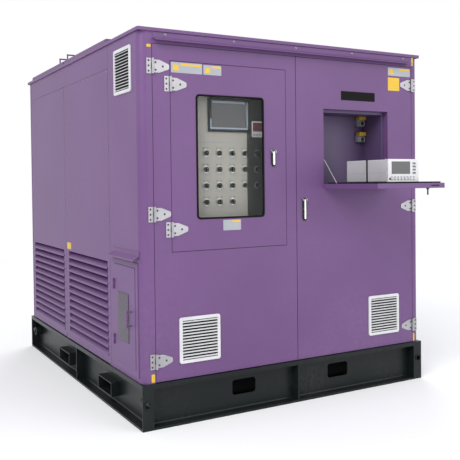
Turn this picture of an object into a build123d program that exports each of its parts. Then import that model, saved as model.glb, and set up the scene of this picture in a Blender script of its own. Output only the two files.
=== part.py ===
"""Generator load bank: a sheet-metal housing on a forklift skid.

Axes: +X to the right seen from the doors, +Y to the back, +Z up; millimetres.
The origin is the middle of the skid's footprint, on the ground.
"""
import os
from math import cos, radians, sin

from build123d import *

os.makedirs("parts", exist_ok=True)

# ---------------------------------------------------------------- driving sizes
body_width = 2000.0
body_length = 2360.0
beam_height = 236.0
floor_height = 14.0
wall_top = 2146.0
roof_rim = 18.0
roof_overhang = 9.0
sheet = 3.0
play = 0.3                      # running clearance of what turns or shuts
seam = 3.0                      # open line between neighbouring panels

half_width = body_width / 2
half_length = body_length / 2
front = -half_length
left = -half_width
floor_top = beam_height + floor_height
roof_top = wall_top + roof_rim

# skid
flange_depth = 67.0
flange_thickness = 12.0
web_thickness = 9.0
root_radius = 10.0
side_reach = 8.0                # skid beyond the body at the sides
end_reach = 10.0                # skid beyond the body at front and back
cap_thickness = 6.0
skid_x = half_width + side_reach
skid_y = half_length + end_reach
beam_inner_x = skid_x - flange_depth
web_outer_x = beam_inner_x + web_thickness
fork_width = 236.0
fork_height = 85.0
fork_wall = 6.0
fork_bottom = 61.0
fork_places = (-575.0, 277.0)
fork_setback = 4.0
member_places = (-880.0, 0.0, 720.0)
member_width = 100.0
member_thickness = 9.0
stiffener_thickness = 8.0
splice_x = 5.0                  # X of the plate that joins the two halves of an end beam
weld_gap = 0.5
lift_height = 140.0
lift_radius = 22.5
lift_bore = 16.5
lift_inset = 30.0
stub_radius = 30.0
stub_bore = 22.0
stub_inset = 110.0
slot_width = 158.0
slot_height = 88.0
slot_middle = 137.0
slot_place = 345.0
anchor_diameter = 22.0
anchor_inset_x = 33.0
anchor_inset_y = 150.0

# body shell
post_radius = 45.0
post_side = 60.0
left_post_front = 75.0
right_post_front = 58.0
rear_post_front = 70.0
bay_depth = 480.0               # from the doors to the bulkhead
panel_joint = 200.0             # Y of the line between the two side panels
panel_end = 1115.0
panel_bottom = floor_top + 5.0
panel_top = wall_top - 141.0
frame_bar = 30.0
bay_end = front + bay_depth
louvre_bottom = 300.0
louvre_top = 868.0
louvre_margins = (47.0, 64.0, 47.0, 52.0)
louvre_depth = 38.0
blade_count = 12
blade_thickness = 2.5
blade_slope = 34.0
bolt_radius = 8.0
bolt_height = 5.0
bolt_inset = 15.0

# doors
door_gap = 3.0
door_depth = 40.0
door_bottom = floor_top + 4.0
header_height = 66.0            # from the doors to the wall top
door_top = wall_top - header_height
door_meeting = 8.0              # X of the line between the doors
meeting_gap = 4.0
hole_left = left + left_post_front
hole_right = half_width - right_post_front
door_left = hole_left + door_gap
door_right = hole_right - door_gap
door_edge_left = door_meeting - meeting_gap / 2
door_edge_right = door_meeting + meeting_gap / 2
stop_width = 20.0
pivot_out = 8.0                 # hinge axis in front of the face
knuckle_radius = 7.0
pin_radius = 3.0
leaf_thickness = 4.0
leaf_width = 36.0
leaf_height = 83.0
strap_length = 97.0
strap_tip = 24.0
door_hinges = (door_top - 120.0, 1163.0, door_bottom + 113.0)
grille_size = 255.0
grille_border = 18.0
grille_thickness = 8.0
grille_radius = 14.0
grille_slats = 13
left_grille_middle = (door_left + 267.0, door_bottom + 209.0)
right_grille_middle = (door_right - 251.0, door_bottom + 207.0)
side_grille_middle = (front + 236.0, wall_top - 185.0)

# window door
window_left, window_right = door_left + 105.0, door_edge_left - 73.0
window_low, window_high = 955.0, door_top - 86.0
window_hinges = (window_high - 125.0, window_low + 122.0)
window_depth = 28.0
pane_side_margin = 163.0
pane_low_margin, pane_high_margin = 182.0, 181.0
pane_width = window_right - window_left - 2 * pane_side_margin
pane_height = window_high - window_low - pane_low_margin - pane_high_margin
pane_middle = ((window_left + window_right) / 2, window_low + pane_low_margin + pane_height / 2)
pane_thickness = 5.0
gasket_width = 10.0
gasket_lip = 4.0
gasket_bite = 5.0

# pocket and shelf in the right door
pocket_left, pocket_right = door_edge_right + 204.0, door_right - 206.0
pocket_low, pocket_high = door_top - 795.0, door_top - 302.0
pocket_ledge = 20.0
pocket_depth = 187.0
shelf_thickness = 30.0
mat_inset = 16.0
mat_thickness = 8.0
analyser_size = (232.0, 372.0, 130.0)
analyser_left = pocket_left + 134.0
analyser_setback = 58.0
stay_length = 200.0
stay_radius = 3.0
stay_lug = 2.0
stay_reach = 114.0
stay_lean = 40.2

# ---------------------------------------------------------------- helpers


def block(x0, x1, y0, y1, z0, z1, mode=Mode.ADD):
    """Add (or cut) the box between two corners in the open part."""
    with Locations(((x0 + x1) / 2, (y0 + y1) / 2, (z0 + z1) / 2)):
        Box(abs(x1 - x0), abs(y1 - y0), abs(z1 - z0), mode=mode)


def rod(start, axis, radius, length, mode=Mode.ADD):
    """Add (or cut) a round bar that starts at a point and runs along an axis."""
    with Locations(Plane(origin=start, z_dir=axis)):
        Cylinder(radius, length, align=(Align.CENTER, Align.CENTER, Align.MIN), mode=mode)


def tray(x0, x1, z0, z1, face, depth):
    """A folded door pan: a sheet at Y=face with its four edges turned back."""
    block(x0, x1, face, face + depth, z0, z1)
    block(x0 + sheet, x1 - sheet, face + sheet, face + depth, z0 + sheet, z1 - sheet, Mode.SUBTRACT)


def finish(builder, name):
    """Label a sub-part and write its file."""
    builder.part.label = name
    export_step(builder.part, f"parts/{name}.step")


# ---------------------------------------------------------------- skid


def channel_face(plane):
    """Channel section: the open side at the plane's x=0, the web behind it."""
    with BuildSketch(plane) as section:
        with Locations((flange_depth / 2, beam_height / 2)):
            Rectangle(flange_depth, beam_height)
        hollow = flange_depth - web_thickness
        with Locations((hollow / 2, beam_height / 2)):
            Rectangle(hollow, beam_height - 2 * flange_thickness, mode=Mode.SUBTRACT)
        fillet(section.vertices().filter_by(lambda corner: abs(corner.X - hollow) < 1), root_radius)
    return section.sketch


side_beam_end = skid_y - cap_thickness
side_plane = Plane(origin=(-skid_x, side_beam_end, 0), x_dir=(1, 0, 0), z_dir=(0, -1, 0))
end_plane = Plane(origin=(-beam_inner_x, -skid_y, 0), x_dir=(0, 1, 0), z_dir=(1, 0, 0))
side_face = channel_face(side_plane)
end_face = channel_face(end_plane)
lift_x = skid_x - lift_inset
stub_y = skid_y - stub_inset

with BuildPart() as left_beam:
    extrude(side_face, amount=2 * side_beam_end)
    for y in fork_places:
        block(-skid_x, -beam_inner_x, y - fork_width / 2, y + fork_width / 2,
              fork_bottom, fork_bottom + fork_height, Mode.SUBTRACT)
    rod((-web_outer_x - 1, stub_y, lift_height), (1, 0, 0), stub_radius, web_thickness + 2, Mode.SUBTRACT)
    block(-skid_x + 2, -web_outer_x, -20 - stiffener_thickness / 2, -20 + stiffener_thickness / 2,
          flange_thickness, beam_height - flange_thickness)
    for y in (-skid_y, side_beam_end):
        block(-skid_x, -beam_inner_x, y, y + cap_thickness, 0, beam_height)
        rod((-lift_x, y - 1, lift_height), (0, 1, 0), lift_radius, cap_thickness + 2, Mode.SUBTRACT)
    for y in (anchor_inset_y - skid_y, skid_y - anchor_inset_y):
        rod((anchor_inset_x - skid_x, y, -1), (0, 0, 1), anchor_diameter / 2,
            flange_thickness + 2, Mode.SUBTRACT)
finish(left_beam, "skid_left_beam")

with BuildPart() as right_beam:
    add(mirror(left_beam.part, about=Plane.YZ, mode=Mode.PRIVATE))
finish(right_beam, "skid_right_beam")

with BuildPart() as skid_ends:
    extrude(end_face, amount=2 * beam_inner_x)
    block(splice_x - stiffener_thickness / 2, splice_x + stiffener_thickness / 2, -skid_y,
          flange_depth - skid_y, 0, beam_height)
    for side in (-1, 1):
        edge = splice_x + side * stiffener_thickness / 2
        block(edge, edge + side * weld_gap, -skid_y, flange_depth - skid_y, 0, beam_height, Mode.SUBTRACT)
    with BuildSketch(Plane.XZ.offset(skid_y - flange_depth)):
        for x in (-slot_place, slot_place):
            with Locations((x, slot_middle)):
                RectangleRounded(slot_width, slot_height, slot_height / 5)
    extrude(amount=web_thickness + 1, mode=Mode.SUBTRACT)
    mirror(about=Plane.XZ)
finish(skid_ends, "skid_end_beams")

with BuildPart() as cross_members:
    for y in member_places:
        block(-beam_inner_x, beam_inner_x, y - member_width / 2, y + member_width / 2, 0, beam_height)
        for side in (-1, 1):
            block(-beam_inner_x, beam_inner_x, y + side * member_thickness / 2, y + side * member_width / 2,
                  member_thickness, beam_height - member_thickness, Mode.SUBTRACT)
finish(cross_members, "skid_cross_members")

with BuildPart() as fork_pockets:
    fork_half = skid_x - fork_setback
    for y in fork_places:
        block(-fork_half, fork_half, y - fork_width / 2, y + fork_width / 2,
              fork_bottom, fork_bottom + fork_height)
        block(-fork_half, fork_half, y - fork_width / 2 + fork_wall, y + fork_width / 2 - fork_wall,
              fork_bottom + fork_wall, fork_bottom + fork_height - fork_wall, Mode.SUBTRACT)
finish(fork_pockets, "fork_pockets")

with BuildPart() as lift_pipes:
    for side in (-1, 1):
        for end in (-1, 1):
            rod((side * lift_x, end * (skid_y + 4), lift_height), (0, -end, 0), lift_radius, 74)
            rod((side * lift_x, end * (skid_y + 4), lift_height), (0, -end, 0), lift_bore, 74, Mode.SUBTRACT)
        rod((side * (skid_x - 4), stub_y, lift_height), (-side, 0, 0), stub_radius, flange_depth + 6)
        rod((side * (skid_x - 4), stub_y, lift_height), (-side, 0, 0), stub_bore, flange_depth + 6,
            Mode.SUBTRACT)
finish(lift_pipes, "lift_pipes")

with BuildPart() as floor_plate:
    block(-skid_x, skid_x, -skid_y, skid_y, beam_height, floor_top)
    lap = flange_depth / 2
    block(lap - skid_x, skid_x - lap, lap - skid_y, skid_y - lap, beam_height, floor_top - 6, Mode.SUBTRACT)
finish(floor_plate, "floor_plate")

# ---------------------------------------------------------------- housing frame
stop_face = front + door_depth + play
header_low = door_top + door_gap


def post(x_sign, y_sign, face_width, deep_return):
    """A folded corner post with a rounded outer corner."""
    x0, y0 = x_sign * half_width, y_sign * half_length
    with BuildSketch(Plane.XY.offset(floor_top)) as section:
        for inset, mode in ((0, Mode.ADD), (sheet, Mode.SUBTRACT)):
            xa, xb = x0 - x_sign * inset, x0 - x_sign * (face_width + (100 if inset else 0))
            ya, yb = y0 - y_sign * inset, y0 - y_sign * (post_side + (100 if inset else 0))
            with BuildSketch(mode=Mode.PRIVATE) as outline:
                with Locations(((xa + xb) / 2, (ya + yb) / 2)):
                    Rectangle(abs(xa - xb), abs(ya - yb))
                corner = outline.vertices().sort_by_distance((xa, ya, 0))[0]
                fillet(corner, post_radius - inset)
            add(outline.sketch, mode=mode)
    extrude(section.sketch, amount=wall_top - floor_top)
    if deep_return:
        edge = x0 - x_sign * face_width
        block(edge, edge + x_sign * sheet, y0, stop_face + sheet, floor_top, header_low)


with BuildPart() as corner_posts:
    post(-1, -1, left_post_front, True)
    post(1, -1, right_post_front, True)
    post(-1, 1, rear_post_front, False)
    post(1, 1, rear_post_front, False)
finish(corner_posts, "corner_posts")

inner_wall = half_width - sheet
with BuildPart() as inner_frame:
    for y in (bay_end + sheet, panel_joint - frame_bar / 2, panel_end - frame_bar / 2):
        block(-inner_wall, frame_bar - inner_wall, y, y + frame_bar, floor_top, wall_top)
    block(-inner_wall, frame_bar - inner_wall, bay_end + sheet, panel_end + frame_bar / 2,
          panel_top - frame_bar / 2, panel_top + frame_bar / 2)
    mirror(about=Plane.YZ)
    block(-frame_bar / 2, frame_bar / 2, half_length - sheet - frame_bar, half_length - sheet,
          floor_top, wall_top)
finish(inner_frame, "inner_frame")

with BuildPart() as door_frame:
    block(hole_left, hole_right, front, front + sheet, header_low, wall_top)
    block(hole_left, hole_right, front + sheet, stop_face + sheet, header_low, header_low + sheet)
    block(hole_left, hole_left + stop_width, stop_face, stop_face + sheet, floor_top, header_low)
    block(hole_right - stop_width, hole_right, stop_face, stop_face + sheet, floor_top, header_low)
    block(hole_left, hole_right, stop_face, stop_face + sheet, header_low - stop_width, header_low)
    block(hole_left, hole_right, stop_face, stop_face + sheet, floor_top, floor_top + stop_width)
finish(door_frame, "door_frame")

gutter_out = 40.0
gutter_top = wall_top - 4.0
gutter_bend = gutter_top - 30.0
gutter_low = gutter_bend - 17.0
gutter_left, gutter_right = hole_left + 6.0, hole_right - 27.0
with BuildPart() as drip_gutter:
    with BuildSketch(Plane.YZ.offset(gutter_left)):
        with BuildLine():
            Polyline((front, gutter_top), (front, gutter_bend), (front - gutter_out, gutter_low),
                     (front - gutter_out, gutter_low + sheet), (front - sheet, gutter_bend + sheet),
                     (front - sheet, gutter_top), close=True)
        make_face()
    extrude(amount=gutter_right - gutter_left)
finish(drip_gutter, "drip_gutter")

# ---------------------------------------------------------------- roof and lids
opening_x = half_width - 45.0
opening_front, opening_back = front + 575.0, half_length - 80.0
curb_height = 24.0
lid_x = half_width - 15.0
lid_height = 35.0
lid_front, lid_joint, lid_back = front + 545.0, 250.0, half_length - 50.0
lid_pivot_z = roof_top + 8.0
lid_pivot_out = 8.0
lid_lugs = (300.0 - half_width, 0.0, half_width - 300.0)
lid_handles = (70.0 - half_width, half_width - 70.0)
lid_handle_setback = 90.0
lid_handle_span = 110.0
lid_handle_radius = 5.0
lid_handle_rise = 30.0
lug_width = 40.0
lug_radius = 6.0

roof_x = half_width + roof_overhang
roof_y = half_length + roof_overhang
rim_width = roof_overhang + sheet
with BuildPart() as roof_plate:
    block(-roof_x, roof_x, -roof_y, roof_y, wall_top, roof_top)
    fillet(roof_plate.edges().filter_by(Axis.Z), roof_overhang)
    block(rim_width - roof_x, roof_x - rim_width, rim_width - roof_y, roof_y - rim_width,
          wall_top, roof_top - 4, Mode.SUBTRACT)
    block(-opening_x - sheet, opening_x + sheet, opening_front - sheet, opening_back + sheet,
          roof_top - roof_rim / 2, roof_top + curb_height)
    block(-opening_x, opening_x, opening_front, opening_back, wall_top, roof_top + curb_height,
          Mode.SUBTRACT)
    for pivot_y in (lid_front - lid_pivot_out, lid_back + lid_pivot_out):
        for x in lid_lugs:
            for side in (-1, 1):
                x0 = x + side * lug_width / 2
                block(x0, x0 + side * 8, pivot_y - lug_radius, pivot_y + lug_radius, roof_top, lid_pivot_z)
                rod((x0, pivot_y, lid_pivot_z), (side, 0, 0), lug_radius, 8)
            rod((x - lug_width / 2, pivot_y, lid_pivot_z), (1, 0, 0), pin_radius, lug_width)
finish(roof_plate, "roof_plate")


def lid(y0, y1, hinge_y, seam_side, name):
    """A shallow roof lid, hinged at its outer end, with two bow handles by the seam."""
    bottom, top = roof_top + play, roof_top + lid_height
    seam_y = y1 if hinge_y < y0 else y0
    with BuildPart() as cover:
        block(-lid_x, lid_x, y0, y1, bottom, top)
        fillet(cover.edges().filter_by(Axis.Z), 12)
        fillet(cover.faces().sort_by(Axis.Z)[-1].edges(), 4)
        block(sheet - lid_x, lid_x - sheet, y0 + sheet, y1 - sheet, bottom, top - sheet, Mode.SUBTRACT)
        block(sheet - lid_x, lid_x - sheet, seam_y - sheet, seam_y + sheet, bottom,
              roof_top + curb_height + 2, Mode.SUBTRACT)
        lug = lug_width / 2 - play
        for x in lid_lugs:
            near = y0 if hinge_y < y0 else y1
            block(x - lug, x + lug, hinge_y, near, lid_pivot_z - 3, lid_pivot_z + 3)
            rod((x - lug, hinge_y, lid_pivot_z), (1, 0, 0), lug_radius, 2 * lug)
            rod((x - lug - 1, hinge_y, lid_pivot_z), (1, 0, 0), pin_radius + play, 2 * lug + 2,
                Mode.SUBTRACT)
        handle_y = seam_y + seam_side * lid_handle_setback
        for x in lid_handles:
            for side in (-1, 1):
                foot = x + side * (lid_handle_span / 2 - lid_handle_radius)
                rod((foot, handle_y, top - 1), (0, 0, 1), lid_handle_radius, lid_handle_rise + 1)
            rod((x - lid_handle_span / 2, handle_y, top + lid_handle_rise), (1, 0, 0),
                lid_handle_radius, lid_handle_span)
    finish(cover, name)


lid(lid_front, lid_joint - seam / 2, lid_front - lid_pivot_out, -1, "front_lid")
lid(lid_joint + seam / 2, lid_back, lid_back + lid_pivot_out, 1, "rear_lid")

# ---------------------------------------------------------------- walls
box_y0, box_y1 = front + 75.0, front + 400.0      # hole for the connection door
box_z0, box_z1 = 308.0, 875.0
grille_hole = grille_size - 2 * grille_border


with BuildPart() as wall_panels:
    block(left, left + sheet, front + post_side, bay_end, floor_top, wall_top)
    block(left, left + sheet, bay_end + seam, panel_end - seam / 2, panel_top + seam, wall_top)
    mirror(about=Plane.YZ)
    edge = half_width - rear_post_front - seam
    for x0, x1 in ((-edge, -seam / 2), (seam / 2, edge)):
        block(x0, x1, half_length - sheet, half_length, panel_bottom, wall_top)
    block(left, left + sheet, box_y0, box_y1, box_z0, box_z1, Mode.SUBTRACT)
    vent_y, vent_z = side_grille_middle
    vent = grille_hole / 2
    block(left, left + sheet, vent_y - vent, vent_y + vent, vent_z - vent, vent_z + vent, Mode.SUBTRACT)
finish(wall_panels, "wall_panels")


def louvre_panel(y0, y1, open0, open1):
    """One left side panel with a framed opening and its slanted blades."""
    inner = left + louvre_depth
    block(left, left + sheet, y0, y1, panel_bottom, panel_top)
    block(left, inner, open0 - sheet, open1 + sheet, louvre_bottom - sheet, louvre_top + sheet)
    block(left, inner, open0, open1, louvre_bottom, louvre_top, Mode.SUBTRACT)
    pitch = (louvre_top - louvre_bottom) / blade_count
    rise = pitch * 0.78
    for row in range(blade_count):
        low = louvre_bottom + row * pitch
        with BuildSketch(Plane.XZ.offset(-open0)) as blade:
            with BuildLine():
                Polyline((left - 4, low), (left - 4, low + blade_slope / 3), (inner - 6, low + rise),
                         (inner - 6, low + rise - blade_thickness),
                         (left - 4 + blade_thickness, low + blade_slope / 3 - blade_thickness),
                         (left - 4 + blade_thickness, low), close=True)
            make_face()
        extrude(blade.sketch, amount=open0 - open1)


def louvre_pair():
    """The two louvred panels of the left side."""
    m = louvre_margins
    louvre_panel(bay_end + seam, panel_joint - seam / 2, bay_end + m[0], panel_joint - m[1])
    louvre_panel(panel_joint + seam / 2, panel_end - seam / 2, panel_joint + m[2], panel_end - m[3])


with BuildPart() as left_louvres:
    louvre_pair()
finish(left_louvres, "left_louvre_panels")

with BuildPart() as right_louvres:
    add(mirror(left_louvres.part, about=Plane.YZ, mode=Mode.PRIVATE))
finish(right_louvres, "right_louvre_panels")

with BuildPart() as bulkhead:
    block(play - inner_wall, inner_wall - play, bay_end, bay_end + sheet, floor_top, wall_top)
finish(bulkhead, "bulkhead")

with BuildPart() as panel_bolts:
    bolt_back, bolt_front = panel_end - 17.0, bay_end + 18.0
    bolt_columns = (bolt_back, 670.0, panel_joint + 18.0, -250.0, bolt_front)
    side_rows = [(y, panel_top - bolt_inset) for y in bolt_columns]
    side_rows += [(y, panel_bottom + rise * (panel_top - panel_bottom)) for rise in (0.74, 0.493, 0.247)
                  for y in (bolt_back, panel_joint - 18.0, bolt_front)]
    side_rows += [(y, panel_bottom + bolt_inset) for y in bolt_columns[1:]]
    for y, z in side_rows:
        for side in (-1, 1):
            with BuildSketch(Plane(origin=(side * half_width, y, z), z_dir=(side, 0, 0))) as head:
                RegularPolygon(bolt_radius, 6)
            extrude(head.sketch, amount=bolt_height)
    header_bolts = 5
    first_bolt, last_bolt = hole_left + 79.0, hole_right - 76.0
    for index in range(header_bolts):
        x = first_bolt + index * (last_bolt - first_bolt) / (header_bolts - 1)
        with BuildSketch(Plane(origin=(x, front - sheet, wall_top - bolt_inset), z_dir=(0, -1, 0))) as head:
            RegularPolygon(bolt_radius, 6)
        extrude(head.sketch, amount=bolt_height)
    rear_columns = (25.0, half_width / 2 - 45.0, half_width - 95.0)
    rear_rows = [floor_top + 40.0 + step / 3 * (wall_top - floor_top - 76.0) for step in range(4)]
    for x in [side * column for side in (-1, 1) for column in rear_columns]:
        for z in rear_rows:
            with BuildSketch(Plane(origin=(x, half_length, z), z_dir=(0, 1, 0))) as head:
                RegularPolygon(bolt_radius, 6)
            extrude(head.sketch, amount=bolt_height)
finish(panel_bolts, "panel_bolts")

# ---------------------------------------------------------------- vent grilles
with BuildPart() as grille:
    half = grille_size / 2
    with BuildSketch(Plane.XY):
        RectangleRounded(grille_size, grille_size, grille_radius)
        Rectangle(grille_hole, grille_hole, mode=Mode.SUBTRACT)
    extrude(amount=grille_thickness)
    fillet(grille.faces().sort_by(Axis.Z)[-1].outer_wire().edges(), 2.5)
    grille_pitch = grille_hole / grille_slats
    for row in range(grille_slats):
        y = (row - (grille_slats - 1) / 2) * grille_pitch
        with Locations(Location((0, y, grille_thickness / 2), (40, 0, 0))):
            Box(grille_hole + 2, 2.0, grille_thickness * 1.1)


def place_grille(builder_name, middle_x, middle_y, middle_z, x_dir, outward):
    """A copy of the vent grille on a wall face."""
    spot = Plane(origin=(middle_x, middle_y, middle_z), x_dir=x_dir, z_dir=outward)
    with BuildPart() as placed:
        with Locations(spot):
            add(grille.part)
    finish(placed, builder_name)


place_grille("left_door_grille", left_grille_middle[0], front, left_grille_middle[1], (1, 0, 0), (0, -1, 0))
place_grille("right_door_grille", right_grille_middle[0], front, right_grille_middle[1], (1, 0, 0), (0, -1, 0))
place_grille("side_vent_grille", left, side_grille_middle[0], side_grille_middle[1], (0, -1, 0), (-1, 0, 0))

# ---------------------------------------------------------------- hinges
pivot_y = front - pivot_out
left_pivot = hole_left + 4.0
right_pivot = hole_right - 4.0
window_pivot = window_left - 1.0
third = leaf_height / 3


def fixed_leaf(pivot_x, z, side):
    """Hinge leaf on the frame: outer knuckles, the pin and the screwed plate."""
    low = z - leaf_height / 2
    far = pivot_x - side * leaf_width
    block(far, pivot_x - side * (knuckle_radius + 2), front - leaf_thickness, front, low, low + leaf_height)
    for start in (low, low + 2 * third):
        block(far, pivot_x, front - leaf_thickness, front, start, start + third)
        rod((pivot_x, pivot_y, start), (0, 0, 1), knuckle_radius, third)
    rod((pivot_x, pivot_y, low), (0, 0, 1), pin_radius, leaf_height)


def strap(pivot_x, z, side):
    """Hinge strap on a door: the middle knuckle and a tapered plate."""
    low = z - leaf_height / 2
    clear = knuckle_radius + 2
    bend = strap_length * 0.4
    with BuildSketch(Plane(origin=(pivot_x, front, z), x_dir=(side, 0, 0), z_dir=(0, -1, 0))) as plate:
        h, t = leaf_height * 0.42, strap_tip / 2
        with BuildLine():
            Polyline((clear, -h), (bend, -h), (strap_length, -t), (strap_length, t),
                     (bend, h), (clear, h), close=True)
        make_face()
        fillet(plate.vertices().group_by(Axis.X)[-1], strap_tip * 0.4)
    extrude(plate.sketch, amount=leaf_thickness)
    start = low + third + play
    block(pivot_x, pivot_x + side * (clear + 2), front - leaf_thickness, front - play,
          start, start + third - 2 * play)
    rod((pivot_x, pivot_y, start), (0, 0, 1), knuckle_radius, third - 2 * play)
    rod((pivot_x, pivot_y, low), (0, 0, 1), pin_radius + play, leaf_height, Mode.SUBTRACT)


with BuildPart() as door_hinge_leaves:
    for z in door_hinges:
        fixed_leaf(left_pivot, z, 1)
        fixed_leaf(right_pivot, z, -1)
finish(door_hinge_leaves, "door_hinge_leaves")

# ---------------------------------------------------------------- swing handles
handle_ear = 4.0


def handle_base(x, z, width, height):
    """Back plate of a lift handle with two ears that carry its pin."""
    block(x - width / 2, x + width / 2, front - 4, front, z - height / 2, z + height / 2)
    pin_z = z + height / 2 - 10
    for side in (-1, 1):
        x0 = x + side * width / 2
        block(x0, x0 - side * handle_ear, front - 14, front - 4, pin_z - 6, pin_z + 6)
    rod((x - width / 2, front - 9, pin_z), (1, 0, 0), 2, width)


def handle_lever(x, z, width, height):
    """The lever that lifts about the pin of its back plate."""
    half = width / 2 - handle_ear - play
    pin_z = z + height / 2 - 10
    block(x - half, x + half, front - 13, front - 5, z - height / 2 + 4, pin_z)
    rod((x - half, front - 9, pin_z), (1, 0, 0), 4, 2 * half)
    rod((x - half - 1, front - 9, pin_z), (1, 0, 0), 2 + play, 2 * half + 2, Mode.SUBTRACT)


window_handle_spot = (window_right - 90.0, window_low + 517.0, 33.0, 91.0)
right_handle_spot = (door_edge_right + 54.0, 1165.0, 34.0, 132.0)

# ---------------------------------------------------------------- left door


def grille_cut(middle):
    """Hole behind a door grille."""
    half = grille_hole / 2
    block(middle[0] - half, middle[0] + half, front, front + sheet, middle[1] - half, middle[1] + half,
          Mode.SUBTRACT)


with BuildPart() as left_door:
    tray(door_left, door_edge_left, door_bottom, door_top, front, door_depth)
    x0, x1 = window_left - door_gap, window_right + door_gap
    z0, z1 = window_low - door_gap, window_high + door_gap
    block(x0 - sheet, x1 + sheet, front, front + door_depth - 2, z0 - sheet, z1 + sheet)
    ledge = front + window_depth + play
    block(x0, x1, front, ledge, z0, z1, Mode.SUBTRACT)
    lap = 15
    block(x0 + lap, x1 - lap, ledge, front + door_depth, z0 + lap, z1 - lap, Mode.SUBTRACT)
    block(x0, x1, ledge + sheet, front + door_depth, z0, z1, Mode.SUBTRACT)
    grille_cut(left_grille_middle)
finish(left_door, "left_door")

with BuildPart() as left_hinges:
    for z in door_hinges:
        strap(left_pivot, z, 1)
    for z in window_hinges:
        fixed_leaf(window_pivot, z, 1)
finish(left_hinges, "left_door_hinges")

# ---------------------------------------------------------------- window door
pane_x, pane_z = pane_middle
hole_x = pane_width + gasket_width
hole_z = pane_height + gasket_width
with BuildPart() as window_door:
    tray(window_left, window_right, window_low, window_high, front, window_depth)
    with BuildSketch(Plane.XZ.offset(-front)):
        with Locations((pane_x, pane_z)):
            RectangleRounded(hole_x, hole_z, 18)
    extrude(amount=-sheet, mode=Mode.SUBTRACT)
finish(window_door, "window_door")

with BuildPart() as window_gasket:
    with BuildSketch(Plane.XZ.offset(-front)):
        with Locations((pane_x, pane_z)):
            RectangleRounded(pane_width + 2 * gasket_width, pane_height + 2 * gasket_width, 22)
    extrude(amount=gasket_lip)
    fillet(window_gasket.faces().sort_by(Axis.Y)[0].outer_wire().edges(), 1.5)
    with BuildSketch(Plane.XZ.offset(-front)):
        with Locations((pane_x, pane_z)):
            RectangleRounded(hole_x, hole_z, 18)
    extrude(amount=-gasket_bite)
    with BuildSketch(Plane.XZ.offset(gasket_lip - front)):
        with Locations((pane_x, pane_z)):
            RectangleRounded(pane_width, pane_height, 14)
    extrude(amount=-gasket_lip - gasket_bite, mode=Mode.SUBTRACT)
finish(window_gasket, "window_gasket")

with BuildPart() as window_pane:
    with BuildSketch(Plane.XZ.offset(-front)):
        with Locations((pane_x, pane_z)):
            RectangleRounded(pane_width, pane_height, 14)
    extrude(amount=-pane_thickness)
finish(window_pane, "window_pane")

with BuildPart() as window_hardware:
    for z in window_hinges:
        strap(window_pivot, z, 1)
    handle_base(*window_handle_spot)
finish(window_hardware, "window_door_hardware")

with BuildPart() as window_handle:
    handle_lever(*window_handle_spot)
finish(window_handle, "window_handle")

# ---------------------------------------------------------------- right door
with BuildPart() as right_door:
    tray(door_edge_right, door_right, door_bottom, door_top, front, door_depth)
    block(pocket_left - sheet, pocket_right + sheet, front, front + door_depth,
          pocket_low - sheet, pocket_high + sheet)
    block(pocket_left, pocket_right, front, front + door_depth, pocket_low, pocket_high, Mode.SUBTRACT)
    grille_cut(right_grille_middle)
finish(right_door, "right_door")

inner_left, inner_right = pocket_left + pocket_ledge, pocket_right - pocket_ledge
inner_low, inner_high = pocket_low + 5, pocket_high - pocket_ledge + 2
pocket_front = front + door_depth
with BuildPart() as instrument_pocket:
    block(pocket_left - sheet, pocket_right + sheet, pocket_front, pocket_front + sheet,
          pocket_low - sheet, pocket_high + sheet)
    block(inner_left - sheet, inner_right + sheet, pocket_front, pocket_front + pocket_depth + sheet,
          inner_low - sheet, inner_high + sheet)
    block(inner_left, inner_right, pocket_front, pocket_front + pocket_depth, inner_low, inner_high,
          Mode.SUBTRACT)
finish(instrument_pocket, "instrument_pocket")

pocket_back = pocket_front + pocket_depth
socket_half_x, socket_half_z, socket_depth = 30.0, 22.0, 30.0
socket_x = pocket_right - 55.0
with BuildPart() as outlet_sockets:
    for z in (pocket_high - 60.0, pocket_high - 165.0):
        block(socket_x - socket_half_x, socket_x + socket_half_x, pocket_back - socket_depth, pocket_back,
              z - socket_half_z, z + socket_half_z)
        block(socket_x - 22, socket_x + 22, pocket_back - socket_depth - 12, pocket_back - socket_depth,
              z - 16, z + 10)
    fillet(outlet_sockets.edges().filter_by(Axis.Y), 5)
finish(outlet_sockets, "outlet_sockets")

with BuildPart() as right_hardware:
    for z in door_hinges:
        strap(right_pivot, z, -1)
    handle_base(*right_handle_spot)
finish(right_hardware, "right_door_hardware")

with BuildPart() as right_handle:
    handle_lever(*right_handle_spot)
finish(right_handle, "right_handle")

# ---------------------------------------------------------------- shelf
shelf_low = pocket_low + play
shelf_top = shelf_low + shelf_thickness
shelf_back = front - play
shelf_front = shelf_back - (pocket_high - pocket_low - seam)
shelf_left, shelf_right = pocket_left + 1.5, pocket_right - 1.5
latch_x = shelf_right - 76.5
with BuildPart() as shelf_flap:
    block(shelf_left, shelf_right, shelf_front, shelf_back, shelf_low, shelf_top)
    fillet(shelf_flap.faces().sort_by(Axis.Y)[0].edges().filter_by(Axis.X), 3)
    block(shelf_left + sheet, shelf_right - sheet, shelf_front + sheet, shelf_back - sheet,
          shelf_low, shelf_low + 18, Mode.SUBTRACT)
    block(latch_x - 32, latch_x + 32, shelf_front, shelf_front + sheet, shelf_low + 11, shelf_low + 19,
          Mode.SUBTRACT)
    for x in (shelf_left + 7, shelf_right - 7):
        block(x - 3, x + 3, -stay_reach + front - 8, -stay_reach + front + 8, shelf_top, shelf_top + stay_lug)
finish(shelf_flap, "shelf_flap")

mat_low, mat_top = shelf_top, shelf_top + mat_thickness
with BuildPart() as shelf_mat:
    block(shelf_left + mat_inset, shelf_right - mat_inset, shelf_front + mat_inset, shelf_back - mat_inset,
          mat_low, mat_top)
    chamfer(shelf_mat.faces().sort_by(Axis.Z)[-1].edges(), 2)
finish(shelf_mat, "shelf_mat")

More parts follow.
